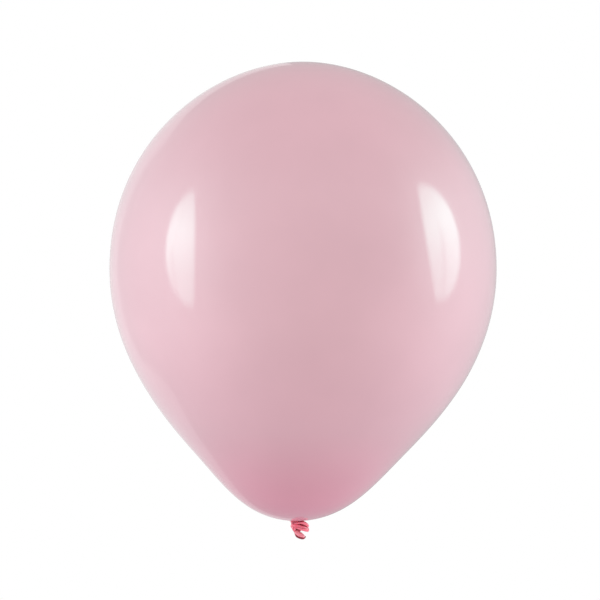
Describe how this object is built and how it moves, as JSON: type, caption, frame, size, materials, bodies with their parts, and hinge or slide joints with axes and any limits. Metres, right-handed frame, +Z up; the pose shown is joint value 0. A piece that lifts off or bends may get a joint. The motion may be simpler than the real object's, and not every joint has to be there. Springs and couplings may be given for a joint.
{
  "type": "inflated latex balloon",
  "caption": "Pear-shaped inflated latex balloon, tied off with a small overhand knot, with a short curled tail and a rolled lip.",
  "frame": {"origin": "on the belly's vertical axis, level with the lowest point of the rolled lip, so the bottom centre of the whole balloon's box", "axes": "+Z up from the knot to the crown, -Y the front, +X to the right seen from the front"},
  "size_m": [0.3, 0.3, 0.3701],
  "materials": {
    "pastel_latex": "stretched thin, glossy, pastel pink",
    "gathered_latex": "gathered into pleats, satin, deeper pink",
    "knotted_latex": "unstretched, satin, coral pink",
    "wrapped_latex": "unstretched, satin, coral pink",
    "loose_latex": "unstretched, satin, coral pink",
    "rolled_latex": "rolled bead, satin, coral pink"
  },
  "bodies": {
    "envelope": {"envelope": "pastel_latex"},
    "neck": {"neck": "gathered_latex"},
    "knot": {"knot_core": "knotted_latex", "knot_wrap": "wrapped_latex"},
    "tail": {"tail": "loose_latex"},
    "lip": {"rolled_lip": "rolled_latex"}
  },
  "joints": [
    {"name": "neck_twist", "type": "hinge", "parent": "envelope", "child": "neck", "pos_m": [-0.00489, 0, 0.01446], "axis": [0, 0, 1], "range_deg": [-90, 90], "stiffness_Nm_per_rad": 0.00003},
    {"name": "knot_sway", "type": "hinge", "parent": "neck", "child": "knot", "pos_m": [-0.00489, 0, 0.0122], "axis": [0, 1, 0], "range_deg": [-18, 18], "stiffness_Nm_per_rad": 0.00003},
    {"name": "tail_swing", "type": "hinge", "parent": "knot", "child": "tail", "pos_m": [-0.00489, 0, 0.0056], "axis": [0, 1, 0], "range_deg": [-15, 70], "stiffness_Nm_per_rad": 0.000005},
    {"name": "lip_turn", "type": "hinge", "parent": "tail", "child": "lip", "pos_m": [0.00011, 0, 0.0021], "axis": [0.5736, 0, 0.8192], "range_deg": [-30, 30], "stiffness_Nm_per_rad": 0.000001}
  ]
}
